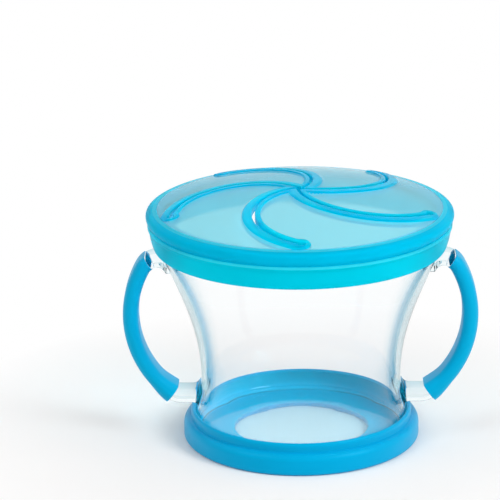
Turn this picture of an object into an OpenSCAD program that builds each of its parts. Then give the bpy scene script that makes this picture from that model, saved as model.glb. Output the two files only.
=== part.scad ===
// Toddler snack container: a clear cup with two moulded handle arms, soft grips,
// a foot ring, and a press-on lid whose soft domed top is slit into five flaps.
// Millimetres. Origin at the bottom centre of the foot ring, +Z up,
// handles along X, front towards -Y.

/* [Cup] */
// Height of the cup's rim above the table
cup_h = 81.6; // [76:0.2:90]
// Outer diameter of the cup's straight neck under the lid
neck_d = 98.8; // [95:0.2:104]
// Outer diameter of the cup at its waist
waist_d = 70.8; // [67:0.2:74]
// Height of the waist above the table
waist_z = 21; // [19:0.5:26]
// Outer diameter of the cup's flared heel, inside the foot ring
heel_d = 77.4; // [75.6:0.2:79]
// Thickness of the cup's wall and floor
cup_wall = 1.8; // [1.4:0.1:2.2]
// Depth of the straight neck below the rim
neck_h = 10.8; // [10.6:0.2:13]
// Height that the bead round the rim stands out from the neck
rim_bead = 0.7; // [0.4:0.1:1]

/* [Foot ring] */
// Widest diameter of the foot ring
foot_d = 84; // [82.6:0.2:92]
// Height of the foot ring
foot_h = 11; // [10.5:0.5:14]
// Thickness of the foot ring's floor, under the cup
foot_floor = 2; // [1.6:0.2:3.6]
// Diameter of the round window in the foot ring's floor
window_d = 47.6; // [36:0.2:60]
// Thickness of the foot ring's upper lip, round the cup
foot_lip = 1.2; // [1:0.1:1.6]

/* [Handles] */
// Width across both grips
span = 125.6; // [122:0.2:134]
// Width of a grip, front to back
grip_w = 11.5; // [10.8:0.1:14]
// Thickness of a grip
grip_t = 5.5; // [5.1:0.1:6.2]
// Width of a handle arm, front to back
arm_w = 9; // [7:0.1:9.6]
// Thickness of a handle arm
arm_t = 3.6; // [2.8:0.1:3.8]
// Thickness of the clear stubs that show between the grips and the cup
stub_t = 5; // [4:0.1:5.2]
// Radius of the fillets where the arms leave the cup's wall
arm_root = 2.4; // [1:0.1:2.8]

/* [Lid] */
// Depth of the lid's skirt below the cup's rim
skirt_h = 10.4; // [9.2:0.2:10.4]
// Thickness of the skirt at its lower edge
skirt_wall = 1.3; // [1:0.1:1.8]
// How far the skirt flares out from its lower edge to the soft top
skirt_flare = 1.5; // [1:0.1:2.4]
// How far the soft top's edge bulges past the skirt
soft_bulge = 0.9; // [0.5:0.1:1.4]
// Rise of the soft top's dome above its edge
dome_rise = 6.2; // [4:0.2:8]
// Thickness of the soft top's sheet
sheet_t = 0.9; // [0.7:0.1:1.2]

/* [Flaps] */
// Distance of a slit's outer end from the lid's axis
slit_reach = 47; // [44:0.2:47.2]
// Radius of the arc that each slit follows
slit_bend = 25.6; // [24.4:0.1:28]
// Width of a slit
slit_gap = 1.1; // [1:0.1:1.5]
// Width of the thick lip along each side of a slit
lip_w = 2; // [1.2:0.1:2.6]
// Depth that a lip hangs below the sheet
lip_drop = 2; // [1:0.1:2.4]
// Gap that stands for the sheet's bending line behind a flap
hinge_gap = 0.6; // [0.6:0.1:1]

/* [Hidden] */
$fn = 120;

// Snug gap between mouldings that are held together, and between the lid and the rim
fit = 0.05;
seat_gap = 0.1;

// Radii and heights of the cup
neck_r = neck_d / 2;
waist_r = waist_d / 2;
heel_r = heel_d / 2;
heel_round = 2;
heel_z = foot_floor + heel_round + 0.5;
neck_z = cup_h - neck_h;
floor_z = foot_floor + cup_wall;
floor_round = 3;
bead_r = neck_r + rim_bead;
bead_z = cup_h - 2.6;
rim_round = 0.5;

// Foot ring, with a groove round it at a share of its height
foot_r = foot_d / 2;
window_r = window_d / 2;
foot_round = 1.3;
groove_z = 0.7 * foot_h;
groove_rise = 3;

// Handle path, in the XZ plane: stub, lower bend, bow, upper bend, stub
skirt_z = cup_h - skirt_h;
low_arm_gap = 4.5;
top_arm_gap = 5;
arm_low_z = foot_h + low_arm_gap;
arm_top_z = skirt_z - top_arm_gap;
handle_h = arm_top_z - arm_low_z;
bow_r = 0.724 * handle_h;
bow_x = span / 2 - grip_t / 2 - bow_r;
bow_z = arm_low_z + 0.59 * handle_h;
low_bend_r = 6;
top_bend_r = 6;
low_turn = asin((arm_low_z + low_bend_r - bow_z) / (bow_r - low_bend_r));
top_turn = asin((arm_top_z - top_bend_r - bow_z) / (bow_r - top_bend_r));
low_bend_at = [bow_x + (bow_r - low_bend_r) * cos(low_turn), arm_low_z + low_bend_r];
top_bend_at = [bow_x + (bow_r - top_bend_r) * cos(top_turn), arm_top_z - top_bend_r];
grip_low_turn = low_turn - 1.2;
grip_top_turn = 58;
arm_root_x = waist_r - 4 * cup_wall;
under_root_r = arm_low_z - stub_t / 2 - foot_h - 4 * fit;

// Lid ring: the skirt and the flange under the soft top
snap_r = bead_r + seat_gap;
skirt_in_r = snap_r + 0.1;
skirt_out_r = skirt_in_r + skirt_wall;
parting_r = skirt_out_r + skirt_flare;
parting_z = cup_h - 2.1;
core_r = parting_r - 1.2;
core_in_r = skirt_in_r + 0.9;
flange_r = neck_r - 0.4;
flange_z = cup_h + seat_gap;
flange_t = 1.6;
snap_z = bead_z - 2.6;

// Soft top: the dome is a sphere, and its edge rolls over the lid ring
edge_roll_w = 3.5;
edge_roll_h = 2.4;
widest_r = parting_r + soft_bulge;
widest_z = parting_z + 2.8;
dome_edge_r = widest_r - edge_roll_w;
dome_edge_z = widest_z + edge_roll_h;
dome_r = (dome_edge_r * dome_edge_r + dome_rise * dome_rise) / (2 * dome_rise);
dome_top_z = dome_edge_z + dome_rise;

// Slits: arcs from the hub to their ends, with a round eye at each end
flap_count = 5;
flap_turn = 360 / flap_count;
first_slit = -89.2;
hub_offset = 0.6;
slit_centre_r = slit_bend - hub_offset;
slit_lead = acos((slit_reach * slit_reach + slit_centre_r * slit_centre_r - slit_bend * slit_bend)
    / (2 * slit_reach * slit_centre_r));
hinge_r = slit_reach * cos(flap_turn / 2);
hinge_z = dome_z(slit_reach) - 0.35;
eye_r = 1.2;
lip_stop = 1.8;
lip_limit_r = flange_r - 0.6;
cut_h = dome_top_z + sheet_t;

// Height of the dome's top face at a distance from the axis
function dome_z(r) = dome_top_z - dome_r + sqrt(dome_r * dome_r - r * r);

// Points along an arc
function arc(centre, r, from, to, steps = 6) = [
    for (i = [0 : steps]) let (a = from + (to - from) * i / steps)
        centre + r * [cos(a), sin(a)]
];

// Points along a cubic Bezier curve
function bezier(a, b, c, d, steps = 12) = [
    for (i = [0 : steps]) let (t = i / steps, s = 1 - t)
        s * s * s * a + 3 * s * s * t * b + 3 * s * t * t * c + t * t * t * d
];

// A rectangle with round corners, centred
function round_rect(w, h, r) = concat(
    arc([w / 2 - r, h / 2 - r], r, 0, 90), arc([r - w / 2, h / 2 - r], r, 90, 180),
    arc([r - w / 2, r - h / 2], r, 180, 270), arc([w / 2 - r, r - h / 2], r, 270, 360)
);

// Outer radius of the cup between its heel and its waist
function flare_r(z) = waist_r
    + (heel_r - waist_r) * (1 + cos(180 * (z - heel_z) / (waist_z - heel_z))) / 2;

// The cup's flared heel from low to high, moved out by a distance
function flare(from, to, out) = [
    for (i = [0 : 8]) let (z = from + (to - from) * i / 8) [flare_r(z) + out, z]
];

// The cup's bowl from the waist to the neck, moved out by a distance
function bowl(out) = bezier(
    [waist_r + out, waist_z],
    [waist_r + out, waist_z + 0.4 * (neck_z - waist_z)],
    [waist_r + out + 0.51 * (neck_r - waist_r), waist_z + 0.66 * (neck_z - waist_z)],
    [neck_r + out, neck_z], 16
);

module cup_outside() {
    rotate_extrude() polygon(concat(
        [[0, foot_floor]],
        arc([heel_r - heel_round, foot_floor + heel_round], heel_round, -90, 0),
        flare(heel_z, waist_z - 1, 0),
        bowl(0),
        [[neck_r, bead_z - rim_bead]],
        arc([neck_r, bead_z], rim_bead, -90, 90),
        arc([neck_r - rim_round, cup_h - rim_round], rim_round, 0, 90, 4),
        [[0, cup_h]]
    ));
}

module cup_inside() {
    rotate_extrude() polygon(concat(
        [[0, floor_z]],
        arc([flare_r(floor_z + floor_round) - cup_wall - floor_round, floor_z + floor_round],
            floor_round, -90, 0),
        flare(floor_z + floor_round + 1, waist_z - 1, -cup_wall),
        bowl(-cup_wall),
        [[neck_r - cup_wall, cup_h + 1], [0, cup_h + 1]]
    ));
}

// Outer radius of the cup between its waist and its neck
function bowl_r(z) = lookup(z, [for (p = bowl(0)) [p[1], p[0]]]);

// A concave fillet between a wall at x and an arm's face at z, ending inside the wall
function root_above(x, z, r) = concat(
    arc([x + r, z + r], r, 270, 180), [[arm_root_x, z + r]]);
function root_below(x, z, r) = concat(
    [[arm_root_x, z - r]], arc([x + r, z - r], r, 180, 90));

// Outline of the right handle's path in the XZ plane, with a given thickness
function handle_band(t) = concat(
    root_below(flare_r(arm_low_z - t / 2), arm_low_z - t / 2, under_root_r),
    arc(low_bend_at, low_bend_r + t / 2, -90, low_turn, 8),
    arc([bow_x, bow_z], bow_r + t / 2, low_turn, top_turn, 24),
    arc(top_bend_at, top_bend_r + t / 2, top_turn, 90, 8),
    root_above(bowl_r(arm_top_z + t / 2), arm_top_z + t / 2, arm_root),
    root_below(bowl_r(arm_top_z - t / 2 - arm_root), arm_top_z - t / 2, arm_root),
    arc(top_bend_at, top_bend_r - t / 2, 90, top_turn, 8),
    arc([bow_x, bow_z], bow_r - t / 2, top_turn, low_turn, 24),
    arc(low_bend_at, low_bend_r - t / 2, low_turn, -90, 8),
    root_above(flare_r(arm_low_z + t / 2 + arm_root), arm_low_z + t / 2, arm_root)
);

// A bar along the right handle's path
module handle_bar(t, w) {
    rotate([90, 0, 0]) linear_extrude(w, center = true) polygon(handle_band(t));
}

// The right handle: an arm, thicker where no grip covers it
module right_arm() {
    handle_bar(arm_t, arm_w);
    difference() {
        handle_bar(stub_t, arm_w);
        grip_run(1, fit);
    }
}

module cup_body() {
    color([0.92, 0.96, 0.97, 0.4]) difference() {
        union() {
            cup_outside();
            right_arm();
            mirror([1, 0, 0]) right_arm();
        }
        cup_inside();
    }
}

module foot_ring() {
    lip_r = flare_r(foot_h - 2.3) + fit + foot_lip;
    color([0, 0.55, 0.8]) rotate_extrude() polygon(concat(
        [[window_r, 0]],
        arc([foot_r - foot_round, foot_round], foot_round, -90, 0),
        bezier([foot_r, groove_z - groove_rise], [foot_r, groove_z - 0.3 * groove_rise],
            [lip_r + 1.3, groove_z - 0.2], [lip_r - 0.1, groove_z], 8),
        bezier([lip_r - 0.2, groove_z + 0.5], [lip_r + 0.2, groove_z + 2.6],
            [lip_r - 0.2, foot_h], [lip_r - 1, foot_h], 8),
        [for (i = [8 : -1 : 0]) flare(heel_z, foot_h, fit)[i]],
        [for (i = [6 : -1 : 0]) arc([heel_r - heel_round, foot_floor + heel_round],
            heel_round + fit, -90, 0)[i] + [0, i == 0 ? fit : 0]],
        [[window_r, foot_floor]]
    ));
}

// A stretch of grip about an axis along Y, between two angles from +X towards +Z
module grip_bend(r, from, to, grow) {
    rotate([90, 0, 0]) rotate_extrude(start = from, angle = to - from)
        translate([r, 0]) polygon(
            round_rect(grip_t + 2 * grow, grip_w + 2 * grow, grip_t / 2 + grow - 0.05));
}

// The run that the right grip takes, grown round its section and at its ends
module grip_run(grow, ends) {
    low_more = atan(ends / bow_r);
    top_more = atan(ends / top_bend_r);
    translate([bow_x, 0, bow_z]) rotate([0, -top_turn, 0]) union() {
        grip_bend(bow_r, grip_low_turn - top_turn - low_more, 0, grow);
        translate([bow_r - top_bend_r, 0, 0])
            grip_bend(top_bend_r, 0, grip_top_turn - top_turn + top_more, grow);
    }
}

module right_grip() {
    color([0, 0.66, 0.88]) difference() {
        grip_run(0, 0);
        handle_bar(arm_t + 2 * fit, arm_w + 2 * fit);
    }
}

module grip_right() { right_grip(); }
module grip_left() { mirror([1, 0, 0]) right_grip(); }

module lid_ring() {
    color([0, 0.75, 0.9]) rotate_extrude() polygon(concat(
        [[skirt_in_r, skirt_z + 0.3], [skirt_in_r + 0.3, skirt_z]],
        bezier([skirt_out_r - 0.4, skirt_z], [skirt_out_r + 0.2, skirt_z + 0.5],
            [parting_r - 0.6, 0.4 * parting_z + 0.6 * skirt_z], [parting_r, parting_z], 10),
        [[core_r, parting_z]],
        arc([core_r - 1, flange_z + flange_t - 1], 1, 0, 90, 5),
        [[flange_r, flange_z + flange_t], [flange_r, flange_z], [core_in_r, flange_z]],
        [[core_in_r - 0.4, snap_z + 1], [snap_r, snap_z + 0.3], [snap_r, snap_z - 0.3],
            [skirt_in_r + 0.35, snap_z - 1]]
    ));
}

// The soft top's ring-shaped section, from inside the hinge lines to its rolled edge
module soft_section() {
    inner_r = hinge_r - 2;
    hook_r = flange_r - fit;
    polygon(concat(
        [for (i = [0 : 5]) let (r = inner_r + (hook_r - 1.2 - inner_r) * i / 5)
            [r, dome_z(r) - sheet_t]],
        [[hook_r - 0.8, flange_z + 0.4], [hook_r, flange_z + 0.4],
            [hook_r, flange_z + flange_t + fit]],
        [for (i = [5 : -1 : 0]) arc([core_r - 1, flange_z + flange_t - 1], 1 + fit, 0, 90, 5)[i]],
        [[core_r + fit, parting_z + fit], [parting_r, parting_z + fit]],
        bezier([parting_r + 0.15, parting_z + 0.4], [parting_r + 0.4, parting_z + 1.2],
            [widest_r, widest_z - 1], [widest_r, widest_z], 6),
        bezier([widest_r, widest_z], [widest_r, widest_z + 1.6],
            [dome_edge_r + 2, dome_edge_z - 0.45], [dome_edge_r, dome_edge_z], 8),
        [for (i = [5 : -1 : 0]) let (r = inner_r + (dome_edge_r - 1 - inner_r) * i / 5)
            [r, dome_z(r)]]
    ));
}

// A slice of the dome between two depths below its top face
module dome_slice(top, bottom) {
    translate([0, 0, dome_top_z - dome_r]) difference() {
        sphere(dome_r - top, $fn = 240);
        sphere(dome_r - bottom, $fn = 240);
    }
}

// Where a slit ends, and the centre of its arc, by number
function slit_angle(i) = first_slit + flap_turn * i;
function slit_end(i) = slit_reach * [cos(slit_angle(i)), sin(slit_angle(i))];
function slit_centre(i) = slit_centre_r * [cos(slit_angle(i) + slit_lead), sin(slit_angle(i) + slit_lead)];

// A disc round a slit's arc, its radius larger or smaller by a distance
module slit_disc(i, grow) {
    translate(slit_centre(i)) circle(slit_bend + grow, $fn = 180);
}

// The side of the line from the hub to a slit's end on which the slit bulges
module slit_side(i) {
    rotate(slit_angle(i)) translate([0, -slit_reach]) square(slit_reach);
}

// The side of a flap's hinge line towards the hub, at a distance from the line
module hub_side(i, back) {
    rotate(slit_angle(i) + flap_turn / 2) translate([-slit_reach, -slit_reach])
        square([slit_reach + hinge_r - back, 2 * slit_reach]);
}

// One flap's outline, between a slit and the next one
module flap_outline(i) {
    intersection() {
        hub_side(i, hinge_gap / 2);
        difference() {
            union() {
                slit_disc(i, -slit_gap / 2);
                polygon([[0, 0], slit_end(i), slit_end(i + 1)]);
            }
            slit_disc(i + 1, slit_gap / 2);
            translate(slit_end(i)) circle(eye_r);
            translate(slit_end(i + 1)) circle(eye_r);
        }
    }
}

// The part of a flap's outline that the lips leave thin
module thin_outline(i) {
    difference() {
        union() {
            slit_disc(i, -slit_gap / 2 - lip_w);
            polygon([[0, 0], slit_end(i), 2 * slit_end(i), 2 * slit_end(i + 1), slit_end(i + 1)]);
            difference() {
                hub_side(i, -slit_reach / 2);
                hub_side(i, lip_stop);
            }
        }
        intersection() {
            slit_disc(i + 1, slit_gap / 2 + lip_w);
            hub_side(i, lip_stop);
        }
    }
}

module flap(i) {
    color([0.3, 0.78, 0.9]) difference() {
        intersection() {
            dome_slice(0, sheet_t + lip_drop);
            linear_extrude(cut_h) flap_outline(i);
        }
        intersection() {
            dome_slice(sheet_t, 2 * (sheet_t + lip_drop));
            linear_extrude(cut_h) thin_outline(i);
        }
    }
}

// The soft top's opening: inside the hinge lines, and inside the slits where they bulge past
module opening_outline() {
    rotate(first_slit) circle((hinge_r + hinge_gap / 2) / cos(flap_turn / 2), $fn = flap_count);
    for (i = [0 : flap_count - 1]) {
        intersection() {
            slit_disc(i, slit_gap / 2);
            slit_side(i);
        }
        translate(slit_end(i)) circle(eye_r);
    }
}

// The lips that stay with the soft top, round the slits' outer ends
module rim_lip_outline() {
    for (i = [0 : flap_count - 1]) intersection() {
        circle(lip_limit_r);
        union() {
            translate(slit_end(i)) circle(eye_r + lip_w * 0.8);
            intersection() {
                slit_disc(i, slit_gap / 2 + lip_w);
                slit_side(i);
            }
        }
    }
}

module soft_top() {
    color([0, 0.72, 0.88]) difference() {
        union() {
            rotate_extrude() soft_section();
            intersection() {
                dome_slice(sheet_t / 3, sheet_t + lip_drop);
                linear_extrude(cut_h) rim_lip_outline();
            }
        }
        linear_extrude(cut_h) opening_outline();
    }
}

module flap_1() { flap(0); }
module flap_2() { flap(1); }
module flap_3() { flap(2); }
module flap_4() { flap(3); }
module flap_5() { flap(4); }

cup_body();
foot_ring();
grip_left();
grip_right();
lid_ring();
soft_top();
flap_1();
flap_2();
flap_3();
flap_4();
flap_5();
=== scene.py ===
"""Looks of the two-handled snack cup: clear cup, soft grips, foot ring and slit lid."""
import math

import bmesh
import bpy
from mathutils import Matrix, Vector


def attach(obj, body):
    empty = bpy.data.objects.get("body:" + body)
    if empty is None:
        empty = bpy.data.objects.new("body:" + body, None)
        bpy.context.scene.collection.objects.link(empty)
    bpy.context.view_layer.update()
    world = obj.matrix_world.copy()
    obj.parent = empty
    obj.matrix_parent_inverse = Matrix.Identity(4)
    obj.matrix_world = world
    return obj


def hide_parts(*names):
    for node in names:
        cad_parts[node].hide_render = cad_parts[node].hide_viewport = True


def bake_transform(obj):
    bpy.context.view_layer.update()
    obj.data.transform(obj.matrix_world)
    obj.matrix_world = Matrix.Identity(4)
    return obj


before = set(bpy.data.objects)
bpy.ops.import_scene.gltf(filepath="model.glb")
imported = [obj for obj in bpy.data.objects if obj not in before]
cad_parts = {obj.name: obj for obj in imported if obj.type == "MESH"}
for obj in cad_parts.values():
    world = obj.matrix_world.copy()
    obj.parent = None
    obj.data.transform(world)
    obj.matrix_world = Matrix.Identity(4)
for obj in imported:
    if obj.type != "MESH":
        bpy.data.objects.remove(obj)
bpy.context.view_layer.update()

MM = 0.001
Y_AXIS, Z_AXIS = Vector((0, 1, 0)), Vector((0, 0, 1))
ROUND_STEPS = 144

# Sizes in millimetres and angles in radians; all but the fine ones are the solids' own

# Cup
CUP_H, CUP_WALL = 81.6, 1.8
NECK_R, WAIST_R, HEEL_R = 49.4, 35.4, 38.7
NECK_Z, WAIST_Z, HEEL_Z = 70.8, 21.0, 4.5
RIM_BEAD, BEAD_Z, RIM_ROUND = 0.7, 79.0, 0.6
HEEL_ROUND, FLOOR_ROUND = 2.0, 3.0

# Foot ring, and the gap between pieces that sit on each other
FOOT_R, FOOT_H, FOOT_FLOOR, WINDOW_R = 42.0, 11.0, 2.0, 23.8
FOOT_ROUND, WINDOW_ROUND = 1.3, 0.5
SNUG = 0.05

# Lid ring: skirt, line where it parts from the soft top, core and flange
SKIRT_Z, SKIRT_IN_R, SKIRT_OUT_R, SKIRT_ROUND = 71.2, 50.3, 51.6, 0.4
PARTING_Z, PARTING_R, PARTING_BEAD = 79.5, 53.1, 0.75
CORE_R, CORE_ROUND = 51.9, 1.0
FLANGE_R, FLANGE_Z, FLANGE_T = 49.0, 81.7, 1.6

# Soft top: rolled edge and domed sheet
WIDEST_R, WIDEST_Z, RIM_IN_R = 54.0, 82.3, 50.2
DOME_EDGE_R, DOME_EDGE_Z, DOME_TOP_Z = 50.5, 84.7, 90.9
DOME_R = (DOME_EDGE_R ** 2 + (DOME_TOP_Z - DOME_EDGE_Z) ** 2) / (
    2 * (DOME_TOP_Z - DOME_EDGE_Z)
)
SHEET_T, EDGE_ROUND, EDGE_ROUND_W = 0.9, 0.35, 0.45

# Slits: each runs out to a round eye along a circle that passes the axis at HUB_OFFSET
FLAPS, FIRST_SLIT = 5, math.radians(-89.2)
FLAP_TURN = 2 * math.pi / FLAPS
SLIT_REACH, SLIT_BEND, SLIT_GAP, EYE_R = 47.0, 25.6, 1.1, 1.2
SLIT_IN, SLIT_OUT = SLIT_BEND - SLIT_GAP / 2, SLIT_BEND + SLIT_GAP / 2
HUB_OFFSET = 0.6
SLIT_CENTRE_R = SLIT_BEND - HUB_OFFSET
SLIT_LEAD = math.acos(
    (SLIT_REACH ** 2 + SLIT_CENTRE_R ** 2 - SLIT_BEND ** 2)
    / (2 * SLIT_REACH * SLIT_CENTRE_R)
)

# Lips hang under the sheet as the solids' do, and rise above it too: their widths inside and
# outside the slit's circle, the shares of the width over which they run out under and over
# the sheet, and the share at which their finish ends
LIP_DROP, LIP_RISE, LIP_IN_W, LIP_OUT_W = 1.3, 0.7, 1.8, 3.2
UNDER_ENDS, OVER_ENDS, FINISH_END = (0.92, 1.08), (0.8, 1.15), 1.07

# Sheet's mesh: rows behind the tip, then steps that grow to the longest, then short steps;
# columns over each lip as shares of its width, their least step, the most of a row that one
# lip's columns take, and the columns between the lips
TIP_ROWS = (0, 0.06, 0.15, 0.3, 0.5, 0.8)
ROW_GROWTH, LONG_ROW, SHORT_ROW = 0.2, 0.9, 0.15
LIP_SHARES = (0, 0.06, 0.14, 0.25, 0.45, 0.7, 0.85, 0.95, 1.05, 1.15, 1.3)
COLUMN_STEP, LIP_MOST, SHEET_COLUMNS = 0.1, 0.42, 36

# Handle: its path runs in the XZ plane, by a low bend, the bow and a top bend
SPAN, BEND_R, ARM_LOW_Z, ARM_TOP_Z = 125.6, 6.0, 15.5, 66.2
GRIP_T, GRIP_W = 5.5, 11.5
ARM_T, ARM_W, ARM_ROUND = 3.6, 9.0, 0.9
STUB_T, STUB_ROUND = 5.0, 1.3
BOW_R = 0.724 * (ARM_TOP_Z - ARM_LOW_Z)
BOW_X = SPAN / 2 - GRIP_T / 2 - BOW_R
BOW_Z = ARM_LOW_Z + 0.59 * (ARM_TOP_Z - ARM_LOW_Z)
LOW_TURN = math.asin((ARM_LOW_Z + BEND_R - BOW_Z) / (BOW_R - BEND_R))
TOP_TURN = math.asin((ARM_TOP_Z - BEND_R - BOW_Z) / (BOW_R - BEND_R))
LOW_BEND = (BOW_X + (BOW_R - BEND_R) * math.cos(LOW_TURN), ARM_LOW_Z + BEND_R)
TOP_BEND = (BOW_X + (BOW_R - BEND_R) * math.cos(TOP_TURN), ARM_TOP_Z - BEND_R)
GRIP_LOW_TURN, GRIP_TOP_TURN = LOW_TURN - math.radians(1.2), math.radians(58)

# Where the arm steps to its thickness under the grip: before the low bend's end, and
# beyond the grip's upper end
LOW_STEP, TOP_STEP = 0.14, 0.01

# An arm's roots: where each meets the wall, and its widening as distances off the wall
# with the growth at each; the ends lie in the hollow, where they are cut away
LOW_ROOT_X, LOW_FLARE = 35.9, ((2.6, 1.0), (1.4, 1.08), (0.6, 1.18), (0, 1.2))
TOP_ROOT_X, TOP_FLARE = 47.6, ((2.4, 1.0), (1.2, 1.1), (0.3, 1.22), (-0.5, 1.22))
ARM_END_X = 28.0

# Patch of the wall behind each root in the arms' finish: half its height and half its width
PATCH_H, PATCH_W = 4.5, 0.7 * ARM_W

# Cuff at the grip's lower end: how far it reaches up the bow, and its growth in thickness
# and in width
CUFF_TURN, CUFF_THICKER, CUFF_WIDER = 0.24, 0.3, 0.06


# Lines and sections


def smooth(low, high, value):
    """Smoothstep from 0 at low to 1 at high."""
    t = max(0.0, min(1.0, (value - low) / (high - low)))
    return t * t * (3 - 2 * t)


def arc(cx, cy, r, start, end, steps):
    """Points along an arc, its angles in degrees."""
    turns = [math.radians(start + (end - start) * i / steps) for i in range(steps + 1)]
    return [(cx + r * math.cos(a), cy + r * math.sin(a)) for a in turns]


def bezier(a, b, c, d, steps):
    """Points along a cubic Bezier curve."""
    points = []
    for i in range(steps + 1):
        t = i / steps
        s = 1 - t
        k = (s ** 3, 3 * s * s * t, 3 * s * t * t, t ** 3)
        points.append(tuple(sum(w * p[j] for w, p in zip(k, (a, b, c, d))) for j in (0, 1)))
    return points


def polar(r, angle, z=0.0):
    """The point at a distance and an angle from the axis."""
    return Vector((r * math.cos(angle), r * math.sin(angle), z))


def dome_z(r):
    """Height of the dome's top face at a distance from the axis."""
    return DOME_TOP_Z - DOME_R + math.sqrt(DOME_R ** 2 - r * r)


def flare_r(z):
    """Outer radius of the cup between its heel and its waist."""
    share = (z - HEEL_Z) / (WAIST_Z - HEEL_Z)
    return WAIST_R + (HEEL_R - WAIST_R) * (1 + math.cos(math.pi * share)) / 2


def bowl(out=0.0):
    """The cup's bowl from the waist to the neck, moved out by a distance."""
    rise, spread = NECK_Z - WAIST_Z, NECK_R - WAIST_R
    return bezier(
        (WAIST_R + out, WAIST_Z),
        (WAIST_R + out, WAIST_Z + 0.4 * rise),
        (WAIST_R + out + 0.51 * spread, WAIST_Z + 0.66 * rise),
        (NECK_R + out, NECK_Z),
        28,
    )


# Mesh helpers


def edges_in(geom):
    """The edges among a bmesh operator's results."""
    return [g for g in geom if isinstance(g, bmesh.types.BMEdge)]


def verts_in(geom):
    """The vertices among a bmesh operator's results."""
    return [g for g in geom if isinstance(g, bmesh.types.BMVert)]


def add_object(bm, name):
    """Writes a bmesh as an object of the scene and frees it."""
    mesh = bpy.data.meshes.new(name)
    bm.to_mesh(mesh)
    bm.free()
    obj = bpy.data.objects.new(name, mesh)
    bpy.context.scene.collection.objects.link(obj)
    return obj


def close_up(bm):
    """Merges the doubles of a bmesh in millimetres and turns its faces outwards."""
    bmesh.ops.remove_doubles(bm, verts=bm.verts, dist=0.002)
    bmesh.ops.recalc_face_normals(bm, faces=bm.faces)


def paint(bm, number, chosen):
    """Gives a material number to the faces chosen by their middle and its distance out."""
    for face in bm.faces:
        middle = face.calc_center_median()
        if chosen(middle, math.hypot(middle.x, middle.y)):
            face.material_index = number


def piece_from(bm, name, materials, body, angle, replaces):
    """Writes a bmesh in millimetres as a piece in metres, smooth up to an edge angle."""
    close_up(bm)
    bmesh.ops.scale(bm, verts=bm.verts, vec=(MM, MM, MM))
    limit = math.radians(angle)
    for face in bm.faces:
        face.smooth = True
    for edge in bm.edges:
        edge.smooth = len(edge.link_faces) != 2 or edge.calc_face_angle(0) < limit
    obj = add_object(bm, name)
    for finish in materials:
        obj.data.materials.append(finish)
    if body:
        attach(obj, body)
    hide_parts(*replaces)
    return obj


def turned(points):
    """A solid of revolution: its section is a closed loop, or a line from axis to axis."""
    bm = bmesh.new()
    verts = [bm.verts.new((x, 0, z)) for x, z in points]
    after = verts[1:] + verts[:1] if points[0][0] > 0 else verts[1:]
    edges = [bm.edges.new(pair) for pair in zip(verts, after)]
    bmesh.ops.spin(
        bm, geom=verts + edges, cent=(0, 0, 0), axis=Z_AXIS,
        angle=2 * math.pi, steps=ROUND_STEPS, use_merge=True,
    )
    return bm


def mirrored(bm):
    """A copy of a bmesh on the other side of the YZ plane."""
    twin = bm.copy()
    bmesh.ops.scale(twin, verts=twin.verts, vec=(-1, 1, 1))
    bmesh.ops.reverse_faces(twin, faces=twin.faces)
    return twin


def settled(obj):
    """The object's mesh with its modifiers applied, as a bmesh; the object is removed."""
    bpy.context.view_layer.update()
    graph = bpy.context.evaluated_depsgraph_get()
    bm = bmesh.new()
    bm.from_mesh(bpy.data.meshes.new_from_object(obj.evaluated_get(graph)))
    bpy.data.objects.remove(obj)
    return bm


def combined(base, others, operation):
    """Boolean of a bmesh with others, one after the other."""
    for bm in (base, *others):
        close_up(bm)
    obj = add_object(base, "work")
    tools = [add_object(bm, "tool") for bm in others]
    for tool in tools:
        cut = obj.modifiers.new("cut", "BOOLEAN")
        cut.operation, cut.solver, cut.object = operation, "EXACT", tool
    bm = settled(obj)
    for tool in tools:
        bpy.data.objects.remove(tool)
    return bm


# Materials


def feed(tree, node, inputs):
    """Sets a node's inputs to values, or links them to the outputs given for them."""
    for key, value in inputs.items():
        if isinstance(value, bpy.types.NodeSocket):
            tree.links.new(value, node.inputs[key])
        else:
            node.inputs[key].default_value = value


def add_node(tree, kind, inputs=None, **settings):
    """A new node with its settings and its inputs."""
    node = tree.nodes.new(kind)
    for key, value in settings.items():
        setattr(node, key, value)
    feed(tree, node, inputs or {})
    return node


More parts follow.
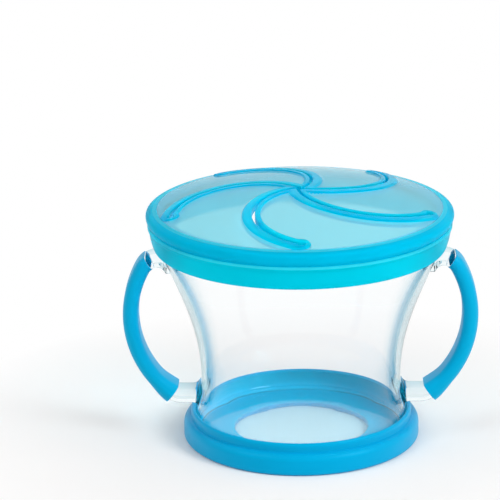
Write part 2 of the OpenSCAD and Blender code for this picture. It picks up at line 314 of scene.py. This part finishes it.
def moulding_group():
    """Flow marks and fine grain of a moulded surface: colour, roughness and normal."""
    group = bpy.data.node_groups.new("moulded_surface", "ShaderNodeTree")
    for name, kind, value in (
        ("Colour", "NodeSocketColor", (0.5, 0.5, 0.5, 1)),
        ("Shade", "NodeSocketFloat", 0.06),
        ("Flow Scale", "NodeSocketFloat", 60.0),
        ("Grain Scale", "NodeSocketFloat", 2500.0),
        ("Roughness", "NodeSocketFloat", 0.3),
        ("Roughness Spread", "NodeSocketFloat", 0.08),
        ("Grain Depth", "NodeSocketFloat", 0.05),
    ):
        socket = group.interface.new_socket(name=name, in_out="INPUT", socket_type=kind)
        socket.default_value = value
    for name, kind in (
        ("Colour", "NodeSocketColor"),
        ("Roughness", "NodeSocketFloat"),
        ("Normal", "NodeSocketVector"),
    ):
        group.interface.new_socket(name=name, in_out="OUTPUT", socket_type=kind)
    given = add_node(group, "NodeGroupInput").outputs
    place = add_node(group, "ShaderNodeTexCoord").outputs["Object"]
    flow = add_node(
        group, "ShaderNodeTexNoise",
        {"Vector": place, "Scale": given["Flow Scale"], "Detail": 3},
    )
    grain = add_node(
        group, "ShaderNodeTexNoise",
        {"Vector": place, "Scale": given["Grain Scale"], "Detail": 2},
    )
    centred = add_node(
        group, "ShaderNodeMath", {0: flow.outputs["Fac"], 1: 0.5}, operation="SUBTRACT"
    )
    shade = add_node(
        group, "ShaderNodeMath",
        {0: centred.outputs[0], 1: given["Shade"], 2: 1.0}, operation="MULTIPLY_ADD",
    )
    tint = add_node(
        group, "ShaderNodeVectorMath",
        {0: given["Colour"], "Scale": shade.outputs[0]}, operation="SCALE",
    )
    rough = add_node(
        group, "ShaderNodeMath",
        {0: centred.outputs[0], 1: given["Roughness Spread"], 2: given["Roughness"]},
        operation="MULTIPLY_ADD",
    )
    bump = add_node(
        group, "ShaderNodeBump",
        {"Strength": given["Grain Depth"], "Distance": 0.0002, "Height": grain.outputs["Fac"]},
    )
    add_node(
        group, "NodeGroupOutput",
        {"Colour": tint.outputs[0], "Roughness": rough.outputs[0],
         "Normal": bump.outputs["Normal"]},
    )
    return group


MOULDED = moulding_group()


def material(name, colour, surface, lit_through=0.0, edge=None, **sockets):
    """A moulded material: surface sets the shared group, sockets the shader's own values.

    Its shadow lets the share lit_through of the light pass, and edge is a painted reflection: a
    colour that it takes where it is seen at a slant.
    """
    made = bpy.data.materials.new(name)
    made.use_nodes = True
    tree = made.node_tree
    shader = tree.nodes["Principled BSDF"]
    look = add_node(
        tree, "ShaderNodeGroup", {"Colour": (*colour, 1), **surface}, node_tree=MOULDED
    )
    base = look.outputs["Colour"]
    if edge:
        weight = add_node(tree, "ShaderNodeLayerWeight")
        reach = add_node(
            tree, "ShaderNodeMapRange", {"Value": weight.outputs["Facing"], "From Min": 0.5}
        )
        tint = add_node(
            tree, "ShaderNodeMix",
            {"Factor": reach.outputs["Result"], "A": base, "B": (*edge, 1)}, data_type="RGBA",
        )
        base = tint.outputs["Result"]
    feed(tree, shader, {
        "Base Color": base,
        "Roughness": look.outputs["Roughness"],
        "Normal": look.outputs["Normal"],
    })
    feed(tree, shader, {key.replace("_", " "): value for key, value in sockets.items()})
    if lit_through:
        path = add_node(tree, "ShaderNodeLightPath")
        share = add_node(
            tree, "ShaderNodeMath",
            {0: path.outputs["Is Shadow Ray"], 1: lit_through}, operation="MULTIPLY",
        )
        clear = add_node(
            tree, "ShaderNodeBsdfTransparent", {"Color": (*(0.7 + 0.3 * c for c in colour), 1)}
        )
        mix = add_node(
            tree, "ShaderNodeMixShader",
            {"Fac": share.outputs[0], 1: shader.outputs["BSDF"], 2: clear.outputs["BSDF"]},
        )
        feed(tree, tree.nodes["Material Output"], {"Surface": mix.outputs["Shader"]})
    return made


# Painted reflection: the clear parts turn teal where they are seen at a slant, in place of what
# their edges reflect
CLEAR_GLOSS, CLEAR_EDGE_PAINTED_REFLECTION = (0.4, 0.75, 0.9, 1), (0.05, 0.45, 0.58)
CLEAR_CUP = material(
    "clear_cup", (0.985, 0.995, 1.0),
    {"Shade": 0.01, "Roughness": 0.02, "Roughness Spread": 0.01, "Grain Depth": 0.0},
    lit_through=1.0, edge=CLEAR_EDGE_PAINTED_REFLECTION,
    Transmission_Weight=1.0, IOR=1.42, Specular_Tint=CLEAR_GLOSS,
)
CLEAR_ARM = material(
    "clear_arm", (0.9, 0.965, 0.98),
    {"Shade": 0.02, "Roughness": 0.03, "Roughness Spread": 0.02, "Grain Depth": 0.0},
    lit_through=1.0, edge=CLEAR_EDGE_PAINTED_REFLECTION,
    Transmission_Weight=1.0, IOR=1.06, Specular_Tint=CLEAR_GLOSS,
)
# Painted shade: the cup's floor is tinted a darker blue in place of the shade and blue bounce
# light on the table seen through it
CLEAR_BASE_PAINTED_SHADE = material(
    "clear_base_painted_shade", (0.61, 0.79, 0.86),
    {"Shade": 0.03, "Roughness": 0.08, "Roughness Spread": 0.04, "Grain Depth": 0.01},
    lit_through=1.0, Transmission_Weight=1.0, IOR=1.42, Specular_Tint=CLEAR_GLOSS,
)

BLUE_GLOSS = (0.12, 0.7, 1.0, 1)
FOOT_BLUE = material(
    "foot_blue", (0.0, 0.38, 0.68),
    {"Shade": 0.08, "Roughness": 0.35, "Grain Depth": 0.04},
    IOR=1.3, Specular_Tint=BLUE_GLOSS,
)
# Painted light: the inside of the foot ring is a lighter blue than its outside, to offset the
# shade that falls inside the ring
FOOT_INNER_PAINTED_LIGHT = material(
    "foot_inner_painted_light_blue", (0.0, 0.55, 0.82),
    {"Shade": 0.06, "Roughness": 0.5, "Grain Depth": 0.04},
    IOR=1.2, Specular_Tint=BLUE_GLOSS,
)
GRIP_BLUE = material(
    "grip_blue", (0.0, 0.4, 0.68),
    {"Shade": 0.08, "Roughness": 0.42, "Grain Depth": 0.08},
    IOR=1.42, Specular_IOR_Level=0.4, Specular_Tint=BLUE_GLOSS,
)
LID_BLUE = material(
    "lid_blue", (0.0, 0.66, 0.82),
    {"Shade": 0.05, "Roughness": 0.35, "Grain Depth": 0.03},
    lit_through=0.7, Transmission_Weight=0.6, IOR=1.07, Specular_Tint=BLUE_GLOSS,
)
SOFT_BLUE = material(
    "soft_blue", (0.0, 0.68, 0.88),
    {"Shade": 0.05, "Roughness": 0.35, "Grain Depth": 0.03},
    lit_through=0.7, Transmission_Weight=0.6, IOR=1.07, Specular_Tint=BLUE_GLOSS,
)
# Painted highlight: a pale blue for the bead at the parting line and the band at the dome's
# edge, in place of the light that catches them
PAINTED_HIGHLIGHT_BLUE = material(
    "painted_highlight_pale_blue", (0.05, 0.76, 0.9),
    {"Shade": 0.03, "Roughness": 0.4, "Grain Depth": 0.02},
    lit_through=0.7, Transmission_Weight=0.5, IOR=1.1, Specular_Tint=BLUE_GLOSS,
)
LIP_BLUE = material(
    "lip_blue", (0.0, 0.66, 0.88),
    {"Shade": 0.05, "Roughness": 0.25, "Grain Depth": 0.03},
    lit_through=0.8, Transmission_Weight=0.6, IOR=1.1, Specular_Tint=BLUE_GLOSS,
)
FLAP_BLUE = material(
    "flap_blue", (0.32, 0.72, 0.81),
    {"Shade": 0.03, "Roughness": 0.1, "Roughness Spread": 0.03, "Grain Depth": 0.02},
    lit_through=0.95, Transmission_Weight=0.64, IOR=1.08, Specular_Tint=BLUE_GLOSS,
)


# Cup: turned shell, with the arms joined to its outside


def cup_outside():
    """The cup's outside from the middle of its floor, over the rim, to the axis."""
    return (
        [(0, FOOT_FLOOR)]
        + arc(HEEL_R - HEEL_ROUND, FOOT_FLOOR + HEEL_ROUND, HEEL_ROUND, -90, 0, 5)
        + [(flare_r(z), z) for z in (5.5, 6.5, 8, 10, 12, 14, 16, 18, 19.5)]
        + bowl()
        + [(NECK_R, 74), (NECK_R, BEAD_Z - RIM_BEAD - 0.6)]
        + arc(NECK_R, BEAD_Z, RIM_BEAD, -80, 80, 8)
        + arc(NECK_R - RIM_ROUND, CUP_H - RIM_ROUND, RIM_ROUND, 0, 90, 4)
        + [(0, CUP_H)]
    )


def outer_r(z):
    """Radius of the cup's outside at a height."""
    line = cup_outside()
    for (r1, z1), (r2, z2) in zip(line, line[1:]):
        if z1 <= z <= z2 and z2 > z1:
            return r1 + (r2 - r1) * (z - z1) / (z2 - z1)
    return NECK_R


def cup_inside():
    """The cup's hollow from the middle of its floor to the axis above the rim."""
    floor_z, mouth_r = FOOT_FLOOR + CUP_WALL, NECK_R - CUP_WALL
    round_z = floor_z + FLOOR_ROUND
    return (
        [(0, floor_z)]
        + arc(flare_r(round_z) - CUP_WALL - FLOOR_ROUND, round_z, FLOOR_ROUND, -90, 0, 6)
        + [(flare_r(z) - CUP_WALL, z) for z in (8, 9.5, 11, 13, 15, 17, 19)]
        + bowl(-CUP_WALL)
        + [(mouth_r, CUP_H - RIM_ROUND), (mouth_r + RIM_ROUND, CUP_H),
           (mouth_r + RIM_ROUND, CUP_H + 2), (0, CUP_H + 2)]
    )


def round_rect(w, h, r, steps):
    """Corner arcs of a rounded rectangle, as one closed list of points."""
    x, y = w / 2 - r, h / 2 - r
    return (
        arc(x, y, r, 0, 90, steps) + arc(-x, y, r, 90, 180, steps)
        + arc(-x, -y, r, 180, 270, steps) + arc(x, -y, r, 270, 360, steps)
    )


def section_ring(bm, w, h, r, x, z, steps):
    """A rounded section across a path that runs along +X: w along Y, h along Z."""
    verts = [bm.verts.new((x, a, z + b)) for a, b in round_rect(w, h, r, steps)]
    bmesh.ops.remove_doubles(bm, verts=verts, dist=0.001)
    verts = [v for v in verts if v.is_valid]
    edges = [bm.edges.new(pair) for pair in zip(verts, verts[1:] + verts[:1])]
    return verts + edges


def sweep_arc(bm, geom, centre, angle, steps):
    """Spins the last ring about an axis along Y and returns the new last ring."""
    made = bmesh.ops.spin(
        bm, geom=geom, cent=(centre[0], 0, centre[1]), axis=-Y_AXIS,
        angle=angle, steps=steps,
    )
    return made["geom_last"]


def next_ring(bm, geom):
    """Extrudes the last ring in place: the new ring, and its vertices alone."""
    made = bmesh.ops.extrude_edge_only(bm, edges=edges_in(geom))["geom"]
    return [g for g in made if not isinstance(g, bmesh.types.BMFace)], verts_in(made)


def about_middle(verts):
    """The space round the middle of some vertices."""
    return Matrix.Translation(-sum((v.co for v in verts), Vector()) / len(verts))


def stretch(bm, geom, x, grow):
    """Takes the last ring on to x and scales it about its own middle."""
    length = x - verts_in(geom)[0].co.x
    last, verts = next_ring(bm, geom)
    bmesh.ops.translate(bm, verts=verts, vec=(length, 0, 0))
    bmesh.ops.scale(bm, verts=verts, vec=(1, grow, grow), space=about_middle(verts))
    return last


def thinned(bm, geom, turn, share):
    """Steps the last ring's thickness by a share; the path's outside lies at the angle turn."""
    last, verts = next_ring(bm, geom)
    across = Matrix.Rotation(turn, 4, "Y") @ about_middle(verts)
    # A hair narrower too, so that the two rings meet nowhere
    bmesh.ops.scale(bm, verts=verts, vec=(share, 0.995, 1), space=across)
    return last


def rooted(bm, geom, wall_x, flare):
    """Takes the last ring through the cup's wall, wider there, and closes its end."""
    for off, grow in flare:
        geom = stretch(bm, geom, wall_x + off, grow)
    geom = stretch(bm, geom, ARM_END_X, 1.0)
    bmesh.ops.contextual_create(bm, geom=edges_in(geom))


def arm():
    """The right arm: a rounded bar along the handle's path, thick where no grip covers it."""
    bm = bmesh.new()
    first = section_ring(bm, ARM_W, STUB_T, STUB_ROUND, LOW_BEND[0], ARM_LOW_Z, 4)
    last = sweep_arc(bm, first, LOW_BEND, LOW_TURN + math.pi / 2 - LOW_STEP, 6)
    last = thinned(bm, last, LOW_TURN - LOW_STEP, ARM_T / STUB_T)
    last = sweep_arc(bm, last, LOW_BEND, LOW_STEP, 1)
    last = sweep_arc(bm, last, (BOW_X, BOW_Z), TOP_TURN - LOW_TURN, 20)
    last = sweep_arc(bm, last, TOP_BEND, GRIP_TOP_TURN + TOP_STEP - TOP_TURN, 5)
    last = thinned(bm, last, GRIP_TOP_TURN + TOP_STEP, STUB_T / ARM_T)
    last = sweep_arc(bm, last, TOP_BEND, math.pi / 2 - GRIP_TOP_TURN - TOP_STEP, 4)
    rooted(bm, last, TOP_ROOT_X, TOP_FLARE)
    rooted(bm, first, LOW_ROOT_X, LOW_FLARE)
    return bm


def on_arm(middle, r):
    """True on the arms, and on the patch of wall behind each root."""
    from_arm = min(abs(middle.z - ARM_LOW_Z), abs(middle.z - ARM_TOP_Z))
    on_patch = from_arm < PATCH_H and abs(middle.y) < PATCH_W
    return on_patch or r > outer_r(middle.z) + 0.2


def on_cup_floor(middle, r):
    """True on the cup's floor, inside and underneath."""
    return middle.z < FOOT_FLOOR + CUP_WALL + 0.6


right_arm = arm()
left_arm = mirrored(right_arm)
cup = combined(turned(cup_outside()), [right_arm, left_arm], "UNION")
cup = combined(cup, [turned(cup_inside())], "DIFFERENCE")
# The cup's floor takes the painted shade
paint(cup, 2, on_cup_floor)
paint(cup, 1, on_arm)
cup_piece = piece_from(
    cup, "clear_cup_shell", [CLEAR_CUP, CLEAR_ARM, CLEAR_BASE_PAINTED_SHADE], "cup", 30, ["cup_body"]
)


# Foot ring


def foot_section():
    """The foot ring: window's edge, outside, groove under the top lip, and seat of the cup."""
    lip_r = flare_r(FOOT_H - 2.3) + 1.25
    groove_z = 0.7 * FOOT_H
    seat_round = HEEL_ROUND + SNUG
    return (
        arc(WINDOW_R + WINDOW_ROUND, WINDOW_ROUND, WINDOW_ROUND, 180, 270, 3)
        + arc(FOOT_R - FOOT_ROUND, FOOT_ROUND, FOOT_ROUND, -90, 0, 6)
        + bezier((FOOT_R, groove_z - 3), (FOOT_R, groove_z - 0.9),
                 (lip_r + 1.3, groove_z - 0.2), (lip_r - 0.1, groove_z), 12)[1:]
        + bezier((lip_r - 0.2, groove_z + 0.5), (lip_r + 0.2, groove_z + 2.6),
                 (lip_r - 0.2, FOOT_H), (lip_r - 1, FOOT_H), 12)
        + [(flare_r(z) + SNUG, z) for z in (10.4, 9.5, 8, 7, 5.6, 4.5)]
        + arc(HEEL_R - HEEL_ROUND, FOOT_FLOOR + seat_round, seat_round, 0, -90, 6)
        + arc(WINDOW_R + WINDOW_ROUND, FOOT_FLOOR + SNUG - WINDOW_ROUND, WINDOW_ROUND,
              90, 180, 3)
    )


def on_foot_seat(middle, r):
    """True on the inside of the foot ring, where the cup sits."""
    between = FOOT_FLOOR - 0.5 < middle.z < FOOT_H - 0.4
    return between and r < flare_r(max(middle.z, HEEL_Z)) + 0.2


foot = turned(foot_section())
# The seat's faces take the lighter blue, painted light that offsets the shade inside the ring
paint(foot, 1, on_foot_seat)
foot_piece = piece_from(
    foot, "foot_ring_shell", [FOOT_BLUE, FOOT_INNER_PAINTED_LIGHT], "cup", 40, ["foot_ring"]
)


# Grips


def cuff(bm):
    """Widens the sleeve's outside towards its lower end."""
    for vert in bm.verts:
        out = math.hypot(vert.co.x - BOW_X, vert.co.z - BOW_Z)
        turn = math.atan2(vert.co.z - BOW_Z, vert.co.x - BOW_X)
        low = 1 - smooth(GRIP_LOW_TURN, GRIP_LOW_TURN + CUFF_TURN, turn)
        more = CUFF_THICKER * low * (out - BOW_R)
        vert.co.x += more * math.cos(turn)
        vert.co.z += more * math.sin(turn)
        vert.co.y *= 1 + CUFF_WIDER * low


def sleeve_wall(bm, w, h, r):
    """One wall of the sleeve along the bow and into the top bend: its two end loops."""
    first = section_ring(bm, w, h, r, 0, -BOW_R, 6)
    verts = verts_in(first)
    turn = Matrix.Rotation(-(math.pi / 2 + GRIP_LOW_TURN), 4, "Y")
    bmesh.ops.transform(bm, matrix=turn, verts=verts)
    bmesh.ops.translate(bm, verts=verts, vec=(BOW_X, 0, BOW_Z))
    last = sweep_arc(bm, first, (BOW_X, BOW_Z), TOP_TURN - GRIP_LOW_TURN, 40)
    last = sweep_arc(bm, last, TOP_BEND, GRIP_TOP_TURN - TOP_TURN, 10)
    return edges_in(first), edges_in(last)


def grip():
    """The right grip: a hollow rounded sleeve round the bow, with a cuff at its lower end."""
    bm = bmesh.new()
    outer = sleeve_wall(bm, GRIP_W, GRIP_T, GRIP_T / 2 - 0.06)
    cuff(bm)
    inner = sleeve_wall(bm, ARM_W + 2 * SNUG, ARM_T + 2 * SNUG, ARM_ROUND)
    for outer_end, inner_end in zip(outer, inner):
        bmesh.ops.bridge_loops(bm, edges=outer_end + inner_end)
    return bm


right_grip = grip()
left_grip = mirrored(right_grip)
for name, bm, node in (("grip_right_sleeve", right_grip, "grip_right"),
                       ("grip_left_sleeve", left_grip, "grip_left")):
    sleeve = piece_from(bm, name, [GRIP_BLUE], "cup", 50, [node])


# Lid ring and the soft top's rim


def lid_ring_section():
    """The lid ring: skirt, bead at the parting line, core, flange and snap ridge."""
    core_in_r = SKIRT_IN_R + 0.9
    flange_top = FLANGE_Z + FLANGE_T
    snap_z = BEAD_Z - 2.6
    return (
        arc(SKIRT_IN_R + SKIRT_ROUND, SKIRT_Z + SKIRT_ROUND, SKIRT_ROUND, 180, 270, 3)
        + bezier((SKIRT_OUT_R - SKIRT_ROUND, SKIRT_Z), (SKIRT_OUT_R + 0.2, SKIRT_Z + 0.5),
                 (PARTING_R - 0.6, PARTING_Z - 5), (PARTING_R - 0.05, PARTING_Z - 1.5), 14)
        + arc(PARTING_R - 0.4, PARTING_Z - PARTING_BEAD, PARTING_BEAD, -50, 90, 8)
        + [(CORE_R, PARTING_Z)]
        + arc(CORE_R - CORE_ROUND, flange_top - CORE_ROUND, CORE_ROUND, 0, 90, 4)
        + [(FLANGE_R, flange_top), (FLANGE_R, FLANGE_Z), (core_in_r, FLANGE_Z),
           (core_in_r - 0.4, snap_z + 1), (SKIRT_IN_R - 0.1, snap_z + 0.3),
           (SKIRT_IN_R - 0.1, snap_z - 0.3), (SKIRT_IN_R + 0.3, snap_z - 1)]
    )


def soft_rim_section():
    """The soft top's rim: hook under the dome, seat on the core, and rolled edge."""
    hook_r = FLANGE_R - SNUG
    flange_top = FLANGE_Z + FLANGE_T
    return (
        [(hook_r - 1.0, dome_z(hook_r) - SHEET_T), (hook_r - 0.8, FLANGE_Z + 0.4),
         (hook_r, FLANGE_Z + 0.4), (hook_r, flange_top + SNUG)]
        + arc(CORE_R - CORE_ROUND, flange_top - CORE_ROUND, CORE_ROUND + SNUG, 90, 0, 4)
        + [(CORE_R + SNUG, PARTING_Z + SNUG)]
        + arc(PARTING_R - 0.6, PARTING_Z + 0.2, 0.15, -90, 0, 3)
        + bezier((PARTING_R - 0.35, PARTING_Z + 0.4), (PARTING_R + 0.25, PARTING_Z + 0.8),
                 (WIDEST_R, WIDEST_Z - 1), (WIDEST_R, WIDEST_Z), 6)
        + bezier((WIDEST_R, WIDEST_Z), (WIDEST_R, WIDEST_Z + 1.6),
                 (DOME_EDGE_R + 2, DOME_EDGE_Z - 0.45), (DOME_EDGE_R, DOME_EDGE_Z), 10)[1:]
        + [(RIM_IN_R, dome_z(RIM_IN_R)), (RIM_IN_R - 0.25, dome_z(RIM_IN_R) - 0.2),
           (RIM_IN_R - 0.3, dome_z(RIM_IN_R) - SHEET_T - 0.2)]
    )


def on_parting_bead(middle, r):
    """True on the thin bead under the parting line."""
    return r > PARTING_R - 0.6 and middle.z > PARTING_Z - 0.8


def on_dome_edge(middle, r):
    """True on the narrow band where the rim meets the sheet."""
    return r > RIM_IN_R - 0.1 and middle.z > DOME_EDGE_Z - 0.25


ring = turned(lid_ring_section())
# The bead under the parting line takes the painted highlight
paint(ring, 1, on_parting_bead)
ring_piece = piece_from(ring, "lid_ring_shell", [LID_BLUE, PAINTED_HIGHLIGHT_BLUE], "lid", 40, ["lid_ring"])

rim = turned(soft_rim_section())
# The band where the rim meets the sheet takes the painted highlight
paint(rim, 1, on_dome_edge)
rim_piece = piece_from(rim, "soft_rim", [SOFT_BLUE, PAINTED_HIGHLIGHT_BLUE], "lid", 40, ["soft_top"])


# Flaps: one sector of sheet with its lips, made once and turned round the axis


def circle_turn(r, centre_r, rho):
    """Angle off a circle's centre line at which it meets the distance r, or None."""
    cosine = (r * r + centre_r ** 2 - rho * rho) / (2 * r * centre_r)
    return math.acos(cosine) if abs(cosine) <= 1 else None


def cross(a, b):
    """Turn from one flat direction to another: above 0 where it is anticlockwise."""
    return a.x * b.y - a.y * b.x


def before_end(point, angle):
    """True where the nearest point of the slit at this angle lies short of its end."""
    centre, end = polar(SLIT_CENTRE_R, angle + SLIT_LEAD), polar(SLIT_REACH, angle)
    return cross(centre, point) < 0 and cross(end - centre, point - centre) < 0


def side_angle(r, gap, side):
    """Angle at the distance r of the line that runs at a gap beside the slit, or None.

    The side is 1 for the slit at the sector's start and -1 for the one at its end.
    """
    angle = FIRST_SLIT if side > 0 else FIRST_SLIT + FLAP_TURN
    found = []
    turn = circle_turn(r, SLIT_CENTRE_R, SLIT_IN - gap if side > 0 else SLIT_OUT + gap)
    if turn is not None and before_end(polar(r, angle + SLIT_LEAD - turn), angle):
        found.append(angle + SLIT_LEAD - turn)
    eye = circle_turn(r, SLIT_REACH, EYE_R + gap)
    if eye is not None:
        found.append(angle + side * eye)
    if not found:
        return angle if r > SLIT_REACH else None
    return side * max(side * a for a in found)


def slit_distance(point):
    """Distance from a point of the first sector to its nearer slit, and its share of the lip."""
    gap, share = math.inf, math.inf
    for angle, width in ((FIRST_SLIT, LIP_IN_W), (FIRST_SLIT + FLAP_TURN, LIP_OUT_W)):
        near = (point - polar(SLIT_REACH, angle)).to_2d().length - EYE_R
        if before_end(point, angle):
            centre = polar(SLIT_CENTRE_R, angle + SLIT_LEAD)
            near = min(near, abs((point - centre).to_2d().length - SLIT_BEND) - SLIT_GAP / 2)
        near = max(0.0, near)
        gap, share = min(gap, near), min(share, near / width)
    return gap, share


def tip_radius():
    """Distance from the axis at which the two sides of a flap meet."""
    low, high = SLIT_OUT - SLIT_CENTRE_R + 1e-4, 4.0
    for _ in range(40):
        middle = (low + high) / 2
        if side_angle(middle, 0, 1) < side_angle(middle, 0, -1):
            high = middle
        else:
            low = middle
    return high


def sector_rows():
    """Distances from the axis: close together at the tip and round the slit's end."""
    tip = tip_radius()
    rows = [tip + off for off in TIP_ROWS]
    while rows[-1] < SLIT_REACH - 4:
        rows.append(rows[-1] + min(LONG_ROW, ROW_GROWTH * rows[-1]))
    while rows[-1] < RIM_IN_R - 2 * SHORT_ROW:
        rows.append(rows[-1] + SHORT_ROW)
    return rows + [RIM_IN_R - SHORT_ROW, RIM_IN_R]


def row_angles(r):
    """Angles of one row's points, from the slit at its start to the slit at its end."""
    start, end = side_angle(r, 0, 1), side_angle(r, 0, -1)
    last = len(LIP_SHARES) - 1
    lows, highs = [], []
    for k, share in enumerate(LIP_SHARES):
        least = COLUMN_STEP * k / r
        most = LIP_MOST * (end - start) * k / last
        low = side_angle(r, share * LIP_IN_W, 1)
        high = side_angle(r, share * LIP_OUT_W, -1)
        lows.append(start + min(most, max(least, low - start if low is not None else most)))
        highs.append(end - min(most, max(least, end - high if high is not None else most)))
    inner = [
        lows[-1] + (highs[-1] - lows[-1]) * k / SHEET_COLUMNS for k in range(1, SHEET_COLUMNS)
    ]
    return lows + inner + highs[::-1]


def sector():
    """A closed sector of the soft sheet in millimetres; its lips' faces take material 1."""
    rows = sector_rows()
    turns = [row_angles(r) for r in rows]
    across, along = len(turns[0]) - 1, len(rows) - 1
    bm = bmesh.new()
    bmesh.ops.create_grid(bm, x_segments=across, y_segments=along, size=0.5)
    # The grid's columns and rows go to their angles and distances; heights come last
    for vert in bm.verts:
        k, row = round((vert.co.x + 0.5) * across), round((vert.co.y + 0.5) * along)
        vert.co = polar(rows[row], turns[row][k])
    below = set(verts_in(bmesh.ops.extrude_face_region(bm, geom=bm.faces[:])["geom"]))
    for face in bm.faces:
        on_lip = slit_distance(face.calc_center_median())[1] < FINISH_END
        face.material_index = 1 if on_lip else 0
    for vert in bm.verts:
        r = vert.co.length
        gap, share = slit_distance(vert.co)
        edge_round = EDGE_ROUND * (1 - min(1.0, gap / EDGE_ROUND_W)) ** 2
        if vert in below:
            hang = 1 - smooth(*UNDER_ENDS, share)
            hang *= 1 - smooth(SLIT_REACH + 0.9, SLIT_REACH + 1.4, r)
            vert.co.z = dome_z(r) - SHEET_T - LIP_DROP * hang + edge_round
        else:
            outer = smooth(RIM_IN_R - 0.2, RIM_IN_R, r)
            raised = LIP_RISE * (1 - smooth(*OVER_ENDS, share))
            raised *= 1 - smooth(SLIT_REACH + 1.6, RIM_IN_R - 0.1, r)
            vert.co.z = dome_z(r) + raised - edge_round - 0.15 * outer
    return bm


def build_flaps():
    """The five flaps: turned copies of the sector, each in place of its flap solid."""
    first = sector()
    for i in range(FLAPS):
        bm = first.copy()
        turn = Matrix.Rotation(FLAP_TURN * i, 4, "Z")
        bmesh.ops.transform(bm, matrix=turn, verts=bm.verts)
        number = i + 1
        piece = piece_from(
            bm, f"flap_sheet_{number}", [FLAP_BLUE, LIP_BLUE], None, 32, [f"flap_{number}"]
        )
        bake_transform(piece)
    first.free()


build_flaps()


# Stage, light and camera, in metres

scene = bpy.context.scene
WORLD_GREY, WHITE = (0.54, 0.54, 0.54, 1), (1, 1, 1, 1)
# Painted light: the floor's white is warmed a little to cancel the blue of the light that the
# blue parts bounce on to it
FLOOR_SIZE, FLOOR_WARMED_AGAINST_BOUNCE_LIGHT = 6.0, (0.96, 0.925, 0.91, 1)
LAMP_AIM = Vector((0, 0, 0.045))

# Distances from the axis between which the floor's shadow fades out
FADE_START, FADE_END = 0.045, 0.14

# Camera, fitted to the picture: width and focal length in pixels, sensor in millimetres,
# its height over a point on the axis as an angle, its distance from there, and its roll
PICTURE_WIDTH, FOCAL_PIXELS, SENSOR = 500, 2815.308, 36
ELEVATION, ROLL = 0.34017687534988905, -0.012951979941144422
DISTANCE, PIVOT_Z = 1.0, 0.038
CAMERA_AIM = Vector((-0.0175818, 0, 0.0688415))


def seen_share(tree):
    """1 for the rays of the camera, of gloss and of clear plastic, and 0 for others."""
    path = add_node(tree, "ShaderNodeLightPath").outputs
    both = add_node(
        tree, "ShaderNodeMath",
        {0: path["Is Camera Ray"], 1: path["Is Glossy Ray"]}, operation="ADD",
    )
    total = add_node(
        tree, "ShaderNodeMath",
        {0: both.outputs[0], 1: path["Is Transmission Ray"]}, operation="ADD", use_clamp=True,
    )
    return total.outputs[0]


def build_world():
    """Plain grey light all round, which looks white."""
    world = bpy.data.worlds.new("studio")
    scene.world = world
    world.use_nodes = True
    tree = world.node_tree
    mix = add_node(
        tree, "ShaderNodeMix",
        {"Factor": seen_share(tree), "A": WORLD_GREY, "B": WHITE}, data_type="RGBA",
    )
    feed(tree, tree.nodes["Background"], {"Color": mix.outputs["Result"]})


def floor_material():
    """A white floor that keeps the object's shadow and fades to plain white round it."""
    made = bpy.data.materials.new("floor_white")
    made.use_nodes = True
    tree = made.node_tree
    tree.nodes.remove(tree.nodes["Principled BSDF"])
    place = add_node(tree, "ShaderNodeTexCoord")
    reach = add_node(
        tree, "ShaderNodeVectorMath", {0: place.outputs["Object"]}, operation="LENGTH"
    )
    fade = add_node(
        tree, "ShaderNodeMapRange",
        {"Value": reach.outputs["Value"], "From Min": FADE_START, "From Max": FADE_END},
    )
    share = add_node(
        tree, "ShaderNodeMath",
        {0: fade.outputs["Result"], 1: seen_share(tree)}, operation="MULTIPLY",
    )
    diffuse = add_node(tree, "ShaderNodeBsdfDiffuse", {"Color": FLOOR_WARMED_AGAINST_BOUNCE_LIGHT})
    glow = add_node(tree, "ShaderNodeEmission")
    mix = add_node(
        tree, "ShaderNodeMixShader",
        {"Fac": share.outputs[0], 1: diffuse.outputs["BSDF"], 2: glow.outputs["Emission"]},
    )
    feed(tree, tree.nodes["Material Output"], {"Surface": mix.outputs["Shader"]})
    return made


def build_floor():
    """The flat floor, which isn't part of the object."""
    bm = bmesh.new()
    bmesh.ops.create_grid(bm, x_segments=1, y_segments=1, size=FLOOR_SIZE)
    floor = add_object(bm, "floor")
    floor.data.materials.append(floor_material())


def soft_lamp(name, place, size, power):
    """A round area lamp aimed at the middle of the object."""
    lamp = bpy.data.lights.new(name, "AREA")
    lamp.shape, lamp.size, lamp.energy = "DISK", size, power
    obj = bpy.data.objects.new(name, lamp)
    obj.location = place
    obj.rotation_mode = "QUATERNION"
    obj.rotation_quaternion = (LAMP_AIM - Vector(place)).to_track_quat("-Z", "Y")
    scene.collection.objects.link(obj)


def build_camera():
    """The camera at the photograph's viewing angle."""
    place = Vector((0, -DISTANCE * math.cos(ELEVATION),
                    PIVOT_Z + DISTANCE * math.sin(ELEVATION)))
    ahead = (CAMERA_AIM - place).normalized()
    right = ahead.cross(Z_AXIS).normalized()
    up = right.cross(ahead)
    side = math.cos(ROLL) * right + math.sin(ROLL) * up
    top = -math.sin(ROLL) * right + math.cos(ROLL) * up
    data = bpy.data.cameras.new("camera")
    data.sensor_width, data.sensor_fit = SENSOR, "HORIZONTAL"
    data.lens = FOCAL_PIXELS / PICTURE_WIDTH * SENSOR
    camera = bpy.data.objects.new("camera", data)
    scene.collection.objects.link(camera)
    camera.matrix_world = Matrix.Translation(place) @ Matrix(
        (side, top, -ahead)).transposed().to_4x4()
    scene.camera = camera


build_world()
build_floor()
soft_lamp("key", (0.75, -0.5, 0.7), 0.5, 6.8)
soft_lamp("fill", (-0.6, -0.4, 0.8), 0.6, 2.2)
build_camera()
scene.view_settings.view_transform = "Standard"
